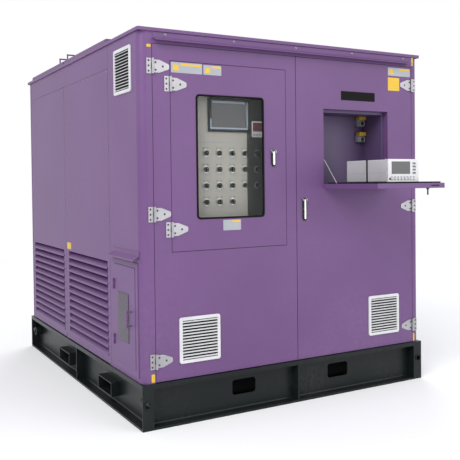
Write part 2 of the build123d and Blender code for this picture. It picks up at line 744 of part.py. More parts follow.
with BuildPart() as shelf_latch:
    block(latch_x - 30, latch_x + 30, shelf_front + sheet, shelf_front + 40, shelf_low + 6, shelf_low + 18)
    rod((latch_x - 40, shelf_front + 20, shelf_low + 18), (0, 0, -1), 9, 24)
    block(latch_x - 43, latch_x - 37, shelf_front + 17, shelf_front + 23, shelf_low - 40, shelf_low - 4)
finish(shelf_latch, "shelf_latch")

analyser_back = shelf_back - analyser_setback
analyser_front = analyser_back - analyser_size[1]
analyser_right = analyser_left + analyser_size[0]
with BuildPart() as power_analyser:
    block(analyser_left, analyser_right, analyser_front + 12, analyser_back, mat_top, mat_top + analyser_size[2])
    fillet(power_analyser.edges().filter_by(Axis.Y), 6)
    block(analyser_left - 2, analyser_right + 2, analyser_front, analyser_front + 14,
          mat_top, mat_top + analyser_size[2] + 2)
    fillet(power_analyser.faces().sort_by(Axis.Y)[0].edges(), 3)
    block(analyser_left + 26, analyser_left + 166, analyser_front, analyser_front + 2,
          mat_top + 44, mat_top + 118, Mode.SUBTRACT)
    for x in range(5):
        block(analyser_left + 36 + x * 28, analyser_left + 48 + x * 28, analyser_front - 3, analyser_front,
              mat_top + 14, mat_top + 24)
    for z in range(4):
        block(analyser_right - 44, analyser_right - 20, analyser_front - 3, analyser_front,
              mat_top + 46 + z * 18, mat_top + 56 + z * 18)
finish(power_analyser, "power_analyser")

stay_z = shelf_top + stay_lug
with BuildPart() as shelf_stays:
    lean = radians(stay_lean)
    foot = (shelf_left + 7, front - stay_reach, stay_z + stay_radius + play)
    rod(foot, (0, sin(lean), cos(lean)), stay_radius, stay_length)
    rod((foot[0] - stay_radius, foot[1], foot[2]), (1, 0, 0), stay_radius, 2 * stay_radius)
    mirror(about=Plane.YZ.offset((shelf_left + shelf_right) / 2))
finish(shelf_stays, "shelf_stays")

# ---------------------------------------------------------------- cable connection box
frame_out = 6.0
door_box_out = 8.0
cdoor_depth = 23.0
cdoor_hinges = (box_z0 + 122.0, box_z1 - 123.0)
cwindow_y0, cwindow_y1 = box_y0 + 105.0, box_y1 - 77.0
cwindow_z0, cwindow_z1 = box_z0 + 140.0, box_z1 - 167.0
cwindow_lap = 8.0
cknob_z = (box_z0 + 240.0, box_z0 + 318.0)
cknob_y = box_y0 + 57.0
hood_low, hood_top, hood_lip = box_z1 + 44.0, box_z1 + 87.0, 7.0
hood_bend = hood_top - 21.0
hood_out = 35.0
hood_front, hood_back = box_y0 - 45.0, box_y1 + 21.0
with BuildPart() as connection_frame:
    with BuildSketch(Plane.XZ.offset(-hood_front)):
        with BuildLine():
            Polyline((left, hood_top), (left, hood_bend - sheet), (left - hood_out, hood_low),
                     (left - hood_out, hood_low - hood_lip), (left - hood_out - sheet, hood_low - hood_lip),
                     (left - hood_out - sheet, hood_low + sheet), (left - sheet, hood_bend),
                     (left - sheet, hood_top), close=True)
        make_face()
    extrude(amount=hood_front - hood_back)
    rear = left - door_box_out + cdoor_depth + play
    block(left - frame_out, left, box_y0 - 30, box_y1 + 25, box_z0 - 33, box_z1 + 25)
    block(left, rear + sheet, box_y0, box_y1, box_z0, box_z1)
    block(left - frame_out, rear, box_y0 + sheet, box_y1 - sheet, box_z0 + sheet, box_z1 - sheet, Mode.SUBTRACT)
    block(rear, rear + sheet, box_y0 + 14, box_y1 - 14, box_z0 + 14, box_z1 - 14, Mode.SUBTRACT)
    cpivot_x, cpivot_y = left - door_box_out - 6, box_y1 - 1
    for z in cdoor_hinges:
        for start in (z - 30, z + 10):
            block(cpivot_x, left - frame_out, cpivot_y + 1, cpivot_y + 5, start, start + 20)
            rod((cpivot_x, cpivot_y, start), (0, 0, 1), 5, 20)
        rod((cpivot_x, cpivot_y, z - 30), (0, 0, 1), 2.2, 60)
finish(connection_frame, "connection_frame")

cdoor_y0, cdoor_y1 = box_y0 + 5, box_y1 - 5
cdoor_z0, cdoor_z1 = box_z0 + 5, box_z1 - 5
with BuildPart() as connection_door:
    x0 = left - door_box_out
    block(x0, x0 + cdoor_depth, cdoor_y0, cdoor_y1, cdoor_z0, cdoor_z1)
    block(x0 + sheet, x0 + cdoor_depth, cdoor_y0 + sheet, cdoor_y1 - sheet, cdoor_z0 + sheet, cdoor_z1 - sheet,
          Mode.SUBTRACT)
    block(x0, x0 + sheet, cwindow_y0, cwindow_y1, cwindow_z0, cwindow_z1, Mode.SUBTRACT)
    for z in cdoor_hinges:
        block(cpivot_x, x0, cpivot_y - 8, cpivot_y - 4, z - 9, z + 9)
        rod((cpivot_x, cpivot_y, z - 9.5), (0, 0, 1), 5, 19)
        rod((cpivot_x, cpivot_y, z - 12), (0, 0, 1), 2.2 + play, 24, Mode.SUBTRACT)
    for z in cknob_z:
        rod((x0, cknob_y, z), (-1, 0, 0), 5, 30)
    rod((x0 - 28, cknob_y, cknob_z[0] - 8), (0, 0, 1), 5, cknob_z[1] - cknob_z[0] + 16)
finish(connection_door, "connection_door")

with BuildPart() as connection_window:
    block(x0 - 3, x0, cwindow_y0 - cwindow_lap, cwindow_y1 + cwindow_lap,
          cwindow_z0 - cwindow_lap, cwindow_z1 + cwindow_lap)
finish(connection_window, "connection_window")

with BuildPart() as connection_terminals:
    board_x = left + 90
    board_z0, board_z1 = box_z0 + 92.0, box_z1 - 75.0
    block(board_x, board_x + 10, box_y0 - 17, box_y1 + 12, board_z0, board_z1)
    for y in (box_y0 - 17, box_y1 + 2):
        block(left + sheet, board_x, y, y + 10, board_z0 + 160, board_z0 + 200)
    for column in range(4):
        y = box_y0 + 50 + column * 75
        block(board_x - 8, board_x, y - 20, y + 20, board_z0 + 60, board_z1 - 60)
        rod((board_x - 9, y, board_z0 + 100), (1, 0, 0), 7, 10, Mode.SUBTRACT)
finish(connection_terminals, "connection_terminals")

# ---------------------------------------------------------------- control cabinet
cabinet = (window_left + 75.0, window_right - 25.0, window_low + 45.0, window_high - 34.0)
panel_face = front + 90.0
plate_out = 3.0
with BuildPart() as control_cabinet:
    block(cabinet[0], cabinet[1], panel_face + sheet, bay_end, cabinet[2], cabinet[3])
    block(cabinet[0] + sheet, cabinet[1] - sheet, panel_face + sheet, bay_end - sheet,
          cabinet[2] + sheet, cabinet[3] - sheet, Mode.SUBTRACT)
finish(control_cabinet, "control_cabinet")

with BuildPart() as control_panel:
    block(cabinet[0], cabinet[1], panel_face, panel_face + sheet, cabinet[2], cabinet[3])
finish(control_panel, "control_panel")

with BuildPart() as panel_instruments:
    screen_x0, screen_x1, screen_z1 = cabinet[0] + 199.0, cabinet[0] + 473.0, cabinet[3] - 139.0
    screen_z0 = screen_z1 - 197.0
    block(screen_x0, screen_x1, panel_face - 8, panel_face, screen_z0, screen_z1)
    fillet(panel_instruments.edges().filter_by(Axis.Y), 6)
    block(screen_x0 + 18, screen_x1 - 18, panel_face - 8, panel_face - 6, screen_z0 + 24, screen_z1 - 24,
          Mode.SUBTRACT)
    meter_x1, meter_z1, meter_size = cabinet[1] - 67.0, cabinet[3] - 267.0, 96.0
    meter_x0, meter_z0 = meter_x1 - meter_size, meter_z1 - meter_size
    block(meter_x0, meter_x1, panel_face - 9, panel_face, meter_z0, meter_z1)
    block(meter_x0 + 8, meter_x1 - 8, panel_face - 9, panel_face - 6, meter_z0 + 8, meter_z1 - 8,
          Mode.SUBTRACT)
finish(panel_instruments, "panel_instruments")

knob_pitch_x, knob_pitch_z = 86.0, 94.0
knob_x = [cabinet[0] + 184.0 + knob_pitch_x * column for column in range(5)]
knob_z = [cabinet[3] - 459.0 - knob_pitch_z * row for row in range(4)]
knob_spots = [(x, z) for row, z in enumerate(knob_z) for x in knob_x[:3 if row == 3 else 5]]
knob_radius = 16.0
knob_height = 9.0
knob_bar = 3.5
plate_radius = 20.0
with BuildPart() as knob_plates:
    for x, z in knob_spots:
        rod((x, panel_face, z), (0, -1, 0), plate_radius, plate_out)
finish(knob_plates, "knob_plates")


def knob(x, z):
    """A round selector knob with a finger bar."""
    seat = panel_face - plate_out - play
    rod((x, seat, z), (0, -1, 0), knob_radius, knob_height)
    block(x - knob_bar, x + knob_bar, seat - 20, seat - 9, z - knob_radius + 1, z + knob_radius - 1)


for index, (x, z) in enumerate(knob_spots[:5]):
    with BuildPart() as selector:
        knob(x, z)
    finish(selector, f"selector_knob_{index + 1}")

with BuildPart() as other_knobs:
    for x, z in knob_spots[5:]:
        knob(x, z)
finish(other_knobs, "selector_knobs")

# ---------------------------------------------------------------- fans and resistors
deck_z = 900.0
deck_thickness = 6.0
fan_places = (bay_end + 470.0, half_length - 530.0)
fan_ring = 400.0
fan_radius = 385.0
shroud_height = 120.0
deck_x = inner_wall - frame_bar - play
hub_radius = 75.0
hub_height = 70.0
shaft_radius = 14.0
motor_radius = 95.0
motor_height = 240.0
motor_drop = 20.0
arm_half = 20.0
arm_height = 40.0
fan_blades = 6
with BuildPart() as fan_deck:
    block(-deck_x, deck_x, bay_end + sheet + play, half_length - sheet - frame_bar - play,
          deck_z, deck_z + deck_thickness)
    for y in fan_places:
        rod((0, y, deck_z), (0, 0, 1), fan_ring + sheet, shroud_height)
    for y in fan_places:
        rod((0, y, deck_z), (0, 0, 1), fan_ring, shroud_height, Mode.SUBTRACT)
finish(fan_deck, "fan_deck")

rotor_low = deck_z + 20.0
with BuildPart() as fan_motors:
    for y in fan_places:
        rod((0, y, rotor_low - motor_drop - motor_height), (0, 0, 1), motor_radius, motor_height)
        rod((0, y, rotor_low - motor_drop), (0, 0, 1), shaft_radius, hub_height + motor_drop)
        for side in (-1, 1):
            block(side * motor_radius * 0.9, side * (fan_ring + arm_height), y - arm_half, y + arm_half,
                  deck_z - arm_height, deck_z)
finish(fan_motors, "fan_motors")

for index, y in enumerate(fan_places):
    with BuildPart() as rotor:
        rod((0, y, rotor_low), (0, 0, 1), hub_radius, hub_height)
        for turn in range(fan_blades):
            angle = turn * 360 / fan_blades
            spot = Location((0, y, rotor_low + hub_height / 2), (0, 0, angle))
            reach = fan_radius - hub_radius + 10
            with Locations(spot * Location((hub_radius - 10 + reach / 2, 0, 0), (28, 0, 0))):
                Box(reach, 110, 5)
        rod((0, y, rotor_low - 1), (0, 0, 1), shaft_radius + play, hub_height + 2, Mode.SUBTRACT)
    finish(rotor, f"fan_rotor_{index + 1}")

rack_x = half_width - 200.0
rack_front, rack_back = bay_end + 100.0, half_length - 160.0
rack_low, rack_high = deck_z + 180.0, wall_top - 186.0
element_rows, element_columns = 4, 9
with BuildPart() as resistor_frames:
    for side in (-1, 1):
        x0 = side * rack_x
        block(x0, x0 + side * 5, rack_front, rack_back, rack_low, rack_high)
        for y in (rack_front, rack_back - 40):
            block(x0 + side * 5, x0 + side * 35, y, y + 40, deck_z + deck_thickness, rack_high)
finish(resistor_frames, "resistor_frames")

with BuildPart() as resistor_elements:
    for row in range(element_rows):
        for column in range(element_columns):
            y = rack_front + (column + 0.5) * (rack_back - rack_front) / element_columns
            z = rack_low + (row + 0.5) * (rack_high - rack_low) / element_rows
            rod((-rack_x, y, z), (1, 0, 0), 14, 2 * rack_x)
finish(resistor_elements, "resistor_elements")
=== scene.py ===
# %% [markdown]
# # A generator load bank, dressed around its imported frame
#
# The sheet-metal housing, doors, lids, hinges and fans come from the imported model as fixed
# pieces. This script gives each of them a finish and adds what a fabricator fixes on last:
# screw heads, the screens, the label tabs and the trim of the instrument on the shelf.

# %% Load the frame
from math import cos, radians, sin

import bmesh
import bpy
from mathutils import Matrix, Vector


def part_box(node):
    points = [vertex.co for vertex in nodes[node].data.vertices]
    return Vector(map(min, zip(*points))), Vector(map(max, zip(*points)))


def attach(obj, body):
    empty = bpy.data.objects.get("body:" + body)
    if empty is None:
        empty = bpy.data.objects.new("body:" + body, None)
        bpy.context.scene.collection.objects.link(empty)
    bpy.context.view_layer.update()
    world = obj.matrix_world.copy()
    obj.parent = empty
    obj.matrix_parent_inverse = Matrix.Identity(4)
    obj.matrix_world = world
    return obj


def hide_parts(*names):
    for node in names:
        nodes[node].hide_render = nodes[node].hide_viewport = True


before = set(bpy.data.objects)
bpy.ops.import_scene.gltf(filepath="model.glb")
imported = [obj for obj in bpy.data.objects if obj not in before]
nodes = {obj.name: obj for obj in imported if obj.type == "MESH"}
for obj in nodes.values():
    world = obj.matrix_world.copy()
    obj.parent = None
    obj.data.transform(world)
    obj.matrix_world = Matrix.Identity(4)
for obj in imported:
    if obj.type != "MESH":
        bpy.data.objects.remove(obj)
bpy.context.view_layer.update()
print("the frame holds", len(nodes), "nodes")

# %% [markdown]
# ## Shader maths as Python
#
# A noise, a height and a mask are all numbers over the surface. Wrapping a socket in a small
# class lets them be added and multiplied as in any formula, and each sum adds one Math node.


# %% The expression class
class Expression:
    """One output socket that can be used in sums."""

    def __init__(self, finish, socket):
        self.finish = finish
        self.socket = socket

    def maths(self, operation, left, right):
        return self.finish.node("ShaderNodeMath", {"operation": operation}, [left, right])

    def __add__(self, other):
        return self.maths("ADD", self, other)

    def __radd__(self, other):
        return self.maths("ADD", other, self)

    def __sub__(self, other):
        return self.maths("SUBTRACT", self, other)

    def __rsub__(self, other):
        return self.maths("SUBTRACT", other, self)

    def __mul__(self, other):
        return self.maths("MULTIPLY", self, other)

    def __rmul__(self, other):
        return self.maths("MULTIPLY", other, self)

    def above(self, edge, softness):
        """0 below an edge and 1 above it, with a soft step."""
        return self.finish.node("ShaderNodeMapRange", {"clamp": True},
                                {"Value": self, "From Min": edge, "From Max": edge + softness})


class Finish:
    """A material under construction, with one method that adds any node."""

    def __init__(self, name, roughness=0.5, metallic=0.0, **sockets):
        self.material = bpy.data.materials.new(name)
        self.material.use_nodes = True
        self.tree = self.material.node_tree
        self.shader = self.tree.nodes["Principled BSDF"]
        self.shader.inputs["Roughness"].default_value = roughness
        self.shader.inputs["Metallic"].default_value = metallic
        for socket, value in sockets.items():
            self.shader.inputs[socket.replace("_", " ")].default_value = value

    def link(self, socket, value):
        if isinstance(value, Expression):
            self.tree.links.new(value.socket, socket)
        else:
            socket.default_value = value

    def node(self, kind, settings=None, inputs=(), output=0):
        made = self.tree.nodes.new(kind)
        for key, value in (settings or {}).items():
            setattr(made, key, value)
        pairs = inputs.items() if isinstance(inputs, dict) else enumerate(inputs)
        for key, value in pairs:
            self.link(made.inputs[key], value)
        return Expression(self, made.outputs[output])

    def place(self):
        return self.node("ShaderNodeTexCoord", output="Object")

    def axis(self, letter):
        return self.node("ShaderNodeSeparateXYZ", inputs=[self.place()], output=letter)

    def noise(self, scale, detail=4.0, stretch=(1, 1, 1)):
        spot = self.node("ShaderNodeMapping", inputs={"Vector": self.place(), "Scale": stretch})
        return self.node("ShaderNodeTexNoise", inputs={"Vector": spot, "Scale": scale, "Detail": detail})

    def blend(self, amount, first, second):
        return self.node("ShaderNodeMix", {"data_type": "RGBA"},
                         {0: amount, 6: first, 7: second}, output=2)

    def set(self, socket, value):
        self.link(self.shader.inputs[socket], value)

    def bump(self, height, strength, distance):
        self.set("Normal", self.node("ShaderNodeBump", inputs={
            "Height": height, "Strength": strength, "Distance": distance}))


def tint(colour, factor):
    """A colour made lighter or darker."""
    return tuple(min(1.0, c * factor) for c in colour) + (1.0,)


# %% [markdown]
# ## Finishes
#
# Powder coat has a fine orange peel, a faint cloudiness, and dust that gathers low down. The
# same recipe with other numbers gives the housing, the skid and the beige control panel.


# %% Painted sheet
def paint(name, colour, roughness, dust, dust_colour, dust_height, gloss=0.3):
    finish = Finish(name, roughness=roughness, Specular_IOR_Level=gloss)
    cloud = finish.noise(1.7, 5)
    fine = finish.noise(38, 3)
    base = finish.blend(cloud.above(0.3, 0.4), tint(colour, 0.94), tint(colour, 1.06))
    height = finish.axis("Z")
    low = 1 - height.above(dust_height, 0.5)
    dirt = (low * 0.7 + 0.3) * cloud.above(0.42, 0.35) * fine.above(0.35, 0.3) * dust
    finish.set("Base Color", finish.blend(dirt, base, (*dust_colour, 1)))
    finish.set("Roughness", roughness + dirt * 0.35 + (fine - 0.5) * 0.08)
    finish.bump(finish.noise(420, 2), 0.10, 0.0006)
    return finish


purple = (0.148, 0.070, 0.196)
grey_dust = (0.22, 0.19, 0.23)
purple_paint = paint("purple_powder_coat", purple, 0.42, 0.30, grey_dust, 0.25)
skid_paint = paint("skid_gloss_paint", (0.008, 0.011, 0.012), 0.34, 0.30, (0.07, 0.07, 0.065), 0.02, 0.22)
panel_paint = paint("beige_panel_paint", (0.46, 0.44, 0.39), 0.45, 0.05, (0.4, 0.38, 0.34), 0.3)


# %% Bare metals, plastics and rubber
def metal(name, colour, roughness, grain, stretch):
    finish = Finish(name, roughness=roughness, metallic=1.0)
    streak = finish.noise(grain, 3, stretch)
    stain = finish.noise(6, 4)
    finish.set("Base Color", finish.blend(stain.above(0.35, 0.4), tint(colour, 0.82), tint(colour, 1.05)))
    finish.set("Roughness", roughness - 0.1 + streak * 0.25)
    finish.bump(streak, 0.12, 0.0004)
    return finish


def moulded(name, colour, roughness, grain=0.06, **sockets):
    finish = Finish(name, roughness=roughness, **sockets)
    speck = finish.noise(260, 2)
    cloud = finish.noise(9, 3)
    finish.set("Base Color", finish.blend(cloud.above(0.3, 0.4), tint(colour, 0.93), tint(colour, 1.05)))
    finish.set("Roughness", roughness - 0.04 + cloud * 0.1)
    finish.bump(speck, grain, 0.0005)
    return finish


stainless = metal("stainless_hinge", (0.42, 0.41, 0.44), 0.42, 90, (1, 1, 8))
galvanised = metal("galvanised_sheet", (0.42, 0.43, 0.45), 0.5, 14, (1, 1, 1))
bolt_zinc = metal("zinc_bolt_head", (0.24, 0.23, 0.26), 0.4, 60, (1, 1, 1))
screw_dark = metal("dark_screw_head", (0.10, 0.09, 0.10), 0.45, 60, (1, 1, 1))
heated_steel = metal("heat_tinted_resistor", (0.36, 0.32, 0.28), 0.45, 30, (0.1, 1, 1))
copper = metal("bare_copper", (0.75, 0.42, 0.28), 0.35, 60, (1, 1, 0.2))
cast_iron = moulded("motor_casting", (0.07, 0.09, 0.11), 0.55, 0.2)
grille_white = moulded("white_grille", (0.66, 0.66, 0.67), 0.45)
# Black rubber for the window gasket and the instrument strap; the same black also makes the strips of
# painted shade in the door gaps.
black_rubber_and_gap_shade = moulded("black_seal_and_gap_shade", (0.006, 0.006, 0.006), 0.7, Specular_IOR_Level=0.1)
mat_rubber = moulded("shelf_mat_rubber", (0.008, 0.010, 0.010), 0.8, 0.3, Specular_IOR_Level=0.12)
black_moulding = moulded("black_moulding", (0.012, 0.013, 0.013), 0.45, Specular_IOR_Level=0.2)
knob_moulding = moulded("knob_moulding", (0.004, 0.016, 0.011), 0.25, Specular_IOR_Level=0.35)
bezel_silver = metal("knob_bezel", (0.72, 0.72, 0.70), 0.28, 60, (1, 1, 1))
# A darker copy of the housing purple for the inside of the pocket: painted shade in the recess.
pocket_shade_purple = moulded("pocket_shade_purple", (0.100, 0.062, 0.150), 0.5)
case_grey = moulded("instrument_case", (0.52, 0.50, 0.52), 0.5)
case_white = moulded("instrument_front", (0.72, 0.71, 0.72), 0.42)
socket_grey = moulded("socket_grey", (0.26, 0.27, 0.28), 0.4)
socket_yellow = moulded("socket_lid_yellow", (0.55, 0.33, 0.02), 0.4)
fan_nylon = moulded("fan_nylon", (0.05, 0.05, 0.055), 0.5)
tab_yellow = moulded("tab_yellow", (0.72, 0.45, 0.02), 0.4)
tab_grey = moulded("tab_grey", (0.36, 0.38, 0.41), 0.4)
print_black = moulded("bare_name_plate", (0.004, 0.004, 0.004), 0.55, Specular_IOR_Level=0.1)
screen_grey = moulded("screen_grey", (0.055, 0.057, 0.062), 0.14, 0.0)
end_green = moulded("dark_end_panel", (0.030, 0.036, 0.030), 0.4, Specular_IOR_Level=0.3)
film_pale = moulded("protective_film", (0.30, 0.37, 0.46), 0.2, 0.0)
digit_red = moulded("meter_digits", (0.45, 0.02, 0.02), 0.3, 0.0)


# %% Glass
def glass(name, colour, alpha):
    """A thin clear pane: mostly see-through, with its gloss kept."""
    finish = Finish(name, roughness=0.04)
    haze = finish.noise(3, 3)
    finish.set("Base Color", (*colour, 1))
    finish.set("Alpha", alpha + haze.above(0.45, 0.4) * 0.03)
    finish.set("Roughness", 0.03 + haze * 0.05)
    return finish


pane_glass = glass("window_glass", (0.03, 0.035, 0.035), 0.10)
smoked = glass("smoked_window", (0.05, 0.03, 0.06), 0.85)

# %% [markdown]
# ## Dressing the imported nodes
#
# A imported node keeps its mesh. Only the material in its slots changes, so the table below
# simply says which finish each node wears.

# %% Hand the finishes out
wearing = {
    purple_paint: "corner_posts door_frame drip_gutter roof_plate wall_panels"
                  " left_louvre_panels right_louvre_panels left_door window_door"
                  " right_door shelf_flap front_lid rear_lid connection_frame"
                  " connection_door",
    skid_paint: "skid_left_beam skid_right_beam skid_end_beams skid_cross_members fork_pockets lift_pipes"
                " floor_plate",
    panel_paint: "control_panel control_cabinet",
    stainless: "door_hinge_leaves left_door_hinges window_door_hardware right_door_hardware"
               " shelf_stays window_handle right_handle",
    # The pocket wears the darker purple of painted shade.
    pocket_shade_purple: "instrument_pocket",
    galvanised: "inner_frame bulkhead fan_deck",
    bolt_zinc: "panel_bolts",
    grille_white: "left_door_grille right_door_grille side_vent_grille",
    black_rubber_and_gap_shade: "window_gasket",
    mat_rubber: "shelf_mat",
    black_moulding: "panel_instruments shelf_latch",
    bezel_silver: "knob_plates",
    knob_moulding: "selector_knobs " + " ".join(f"selector_knob_{i}" for i in range(1, 6)),
    case_grey: "power_analyser",
    socket_grey: "outlet_sockets",
    copper: "connection_terminals",
    cast_iron: "fan_motors",
    fan_nylon: "fan_rotor_1 fan_rotor_2",
    heated_steel: "resistor_frames resistor_elements",
    pane_glass: "window_pane",
    smoked: "connection_window",
}
dressed = set()
for finish, names in wearing.items():
    for name in names.split():
        mesh = nodes[name].data
        if not mesh.materials:
            mesh.materials.append(finish.material)
        for slot in nodes[name].material_slots:
            slot.material = finish.material
        dressed.add(name)
print("nodes without a finish:", sorted(set(nodes) - dressed))

# %% [markdown]
# ## Helpers for new pieces
#
# Each small part starts as a cube or a cone from bmesh, is bevelled while it is simple, and is
# then collected into one piece with its like. The collected mesh is in the frame's own metres.


# %% Modelling helpers
def slab(low, high, radius=0.0, facing="Y", soften=0.0):
    """A plate between two corners, its corners rounded in the plane it faces."""
    low, high = Vector(low), Vector(high)
    shape = bmesh.new()
    bmesh.ops.create_cube(shape, size=1)
    bmesh.ops.scale(shape, vec=high - low, verts=shape.verts)
    bmesh.ops.translate(shape, vec=(low + high) / 2, verts=shape.verts)
    across = "XYZ".index(facing)
    if radius:
        edges = [e for e in shape.edges
                 if all(abs((e.verts[0].co - e.verts[1].co)[i]) < 1e-7 for i in range(3) if i != across)]
        bmesh.ops.bevel(shape, geom=edges, offset=radius, segments=5, profile=0.5,
                        affect="EDGES", material=-1)
    if soften:
        edges = [e for e in shape.edges if e.calc_face_angle(0) > 1.0]
        bmesh.ops.bevel(shape, geom=edges, offset=soften, segments=2, profile=0.5,
                        affect="EDGES", material=-1)
    return shape


def stud(base, outward, radius, height, sides=16, crown=0.6):
    """A round head that stands on a face, its top edge drawn in."""
    shape = bmesh.new()
    turn = Vector((0, 0, 1)).rotation_difference(Vector(outward)).to_matrix().to_4x4()
    centre = Vector(base) + Vector(outward) * height / 2
    bmesh.ops.create_cone(shape, cap_ends=True, segments=sides, radius1=radius, radius2=radius * crown,
                          depth=height, matrix=Matrix.Translation(centre) @ turn)
    return shape


def gather(shapes):
    """One bmesh that holds all the given ones."""
    whole = bmesh.new()
    for shape in shapes:
        part = bpy.data.meshes.new("part")
        shape.to_mesh(part)
        shape.free()
        whole.from_mesh(part)
        bpy.data.meshes.remove(part)
    return whole


def piece(name, shapes, finish, body):
    """Make an object from collected shapes and fix it to a body of the frame."""
    whole = gather(shapes)
    bmesh.ops.recalc_face_normals(whole, faces=whole.faces)
    mesh = bpy.data.meshes.new(name)
    whole.to_mesh(mesh)
    whole.free()
    mesh.materials.append(finish.material)
    made = bpy.data.objects.new(name, mesh)
    bpy.context.scene.collection.objects.link(made)
    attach(made, body)
    print(name, "has", len(mesh.polygons), "faces and rides", body)
    return made


# %% [markdown]
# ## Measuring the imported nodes
#
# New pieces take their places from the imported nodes. Some nodes hold many loose parts, such as
# every panel bolt, so a helper walks the mesh and gives the two corners of each loose part.

# %% Places on the housing
door_low, door_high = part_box("left_door")
face_y = door_low.y
left_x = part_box("wall_panels")[0].x
mm = 0.001
print("front face at y", round(face_y, 4), "and left wall at x", round(left_x, 4))


def islands(name):
    """Low and high corners of the loose parts of a node, found by walking its mesh."""
    shape = bmesh.new()
    shape.from_mesh(nodes[name].data)
    bmesh.ops.remove_doubles(shape, verts=shape.verts, dist=1e-5)
    waiting = set(shape.verts)
    corners = []
    while waiting:
        group = [waiting.pop()]
        for vert in group:
            for edge in vert.link_edges:
                other = edge.other_vert(vert)
                if other in waiting:
                    waiting.remove(other)
                    group.append(other)
        low = Vector(map(min, *(v.co for v in group)))
        high = Vector(map(max, *(v.co for v in group)))
        corners.append((low, high))
    shape.free()
    return corners


# %% [markdown]
# ## Bolt heads
#
# The bolts that hold the side panels are button heads on a washer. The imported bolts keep
# their place in the motion model, and these rounder heads stand in for them in the picture.

# %% Panel bolt heads
washer = 1.5 * mm
bolt_shapes = []
for low, high in islands("panel_bolts"):
    middle = (low + high) / 2
    if abs(middle.x) > -left_x - 1 * mm:
        outward = Vector((middle.x, 0, 0)).normalized()
    else:
        outward = Vector((0, middle.y, 0)).normalized()
    depth = abs((high - low).dot(outward))
    base = middle - outward * depth / 2
    bolt_shapes.append(stud(base, outward, 8.5 * mm, washer, crown=0.95))
    bolt_shapes.append(stud(base + outward * washer, outward, 6.5 * mm, depth - washer, crown=0.55))
bolts = piece("panel_bolt_heads", bolt_shapes, bolt_zinc, "housing")
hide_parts("panel_bolts")
print("bolts:", len(bolt_shapes) // 2)


# %% [markdown]
# ## Hinge screws
#
# Each door hinge is a straight leaf on one side and a tapered strap on the other, held by
# low screws. The screws are told apart by the size of the loose part that they sit on.

# %% Hinge screws
screw_base = 4 * mm
screw_radius, screw_height = 6 * mm, 2.6 * mm
leaf_rows = [(0, -28 * mm), (0, 0), (0, 28 * mm)]
strap_spots = [(24 * mm, -20 * mm), (24 * mm, 20 * mm), (66 * mm, 0)]
fixed_heads = []
for low, high in islands("door_hinge_leaves"):
    if high.z - low.z > 0.06:
        plate_x = low.x + 12 * mm if low.x < 0 else high.x - 12 * mm
        for dx, dz in leaf_rows:
            fixed_heads.append(stud((plate_x + dx, face_y - screw_base, (low.z + high.z) / 2 + dz),
                                    (0, -1, 0), screw_radius, screw_height, 12))
piece("hinge_leaf_screws", fixed_heads, screw_dark, "housing")


def strap_screws(name, node, body, mirrored):
    """Three screws on each tapered strap, and three on any leaf among them."""
    heads = []
    for low, high in islands(node):
        middle_z = (low.z + high.z) / 2
        wide, tall = high.x - low.x, high.z - low.z
        if wide > 0.09 and tall > 0.05:
            for dx, dz in strap_spots:
                x = high.x - dx if mirrored else low.x + dx
                heads.append(stud((x, face_y - screw_base, middle_z + dz), (0, -1, 0),
                                  screw_radius, screw_height, 12))
        elif 0.03 < wide < 0.06 and tall > 0.07:
            for dx, dz in leaf_rows:
                heads.append(stud((low.x + 12 * mm + dx, face_y - screw_base, middle_z + dz), (0, -1, 0),
                                  screw_radius, screw_height, 12))
    return piece(name, heads, screw_dark, body)


strap_screws("left_door_screws", "left_door_hinges", "left_door_body", False)
strap_screws("window_door_screws", "window_door_hardware", "window_door_body", False)
strap_screws("right_door_screws", "right_door_hardware", "right_door_body", True)

# %% [markdown]
# ## Swing handles
#
# Each swing handle is a slim bright lever on a black plate. The lever rides its own body, and it replaces
# the imported lever.


# %% Handle levers and plates
def swing_handle(name, lever_node, plate_body, lever_body):
    low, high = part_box(lever_node)
    plate = slab((low.x - 4 * mm, face_y - 4.6 * mm, low.z - 8 * mm),
                 (high.x + 4 * mm, face_y - 4 * mm, high.z + 6 * mm), 12 * mm)
    piece(name + "_plate", [plate], black_moulding, plate_body)
    middle = (low.x + high.x) / 2
    lever = slab((middle - 7 * mm, low.y, low.z), (middle + 7 * mm, high.y, high.z), 6.5 * mm, soften=2 * mm)
    made = piece(name + "_lever", [lever], bezel_silver, lever_body)
    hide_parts(lever_node)


swing_handle("window_swing", "window_handle", "window_door_body", "window_handle_body")
swing_handle("right_swing", "right_handle", "right_door_body", "right_handle_body")


# %% [markdown]
# ## Painted shade in the door gaps
#
# Black strips sit in the open lines round the doors, a little back from the face. They are painted shade:
# each shows as a dark line that stands in for the shade in the gap, which is what makes the doors read as
# separate sheets.


# %% Painted shade strips in the open lines
# A thin black strip set back in a gap: painted shade for that gap.
def gap_shade_box(x0, x1, z0, z1, y0=2, y1=14):
    return slab((x0, face_y + y0 * mm, z0), (x1, face_y + y1 * mm, z1))


gap = 3 * mm
right_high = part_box("right_door")[1]
window_low, window_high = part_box("window_door")
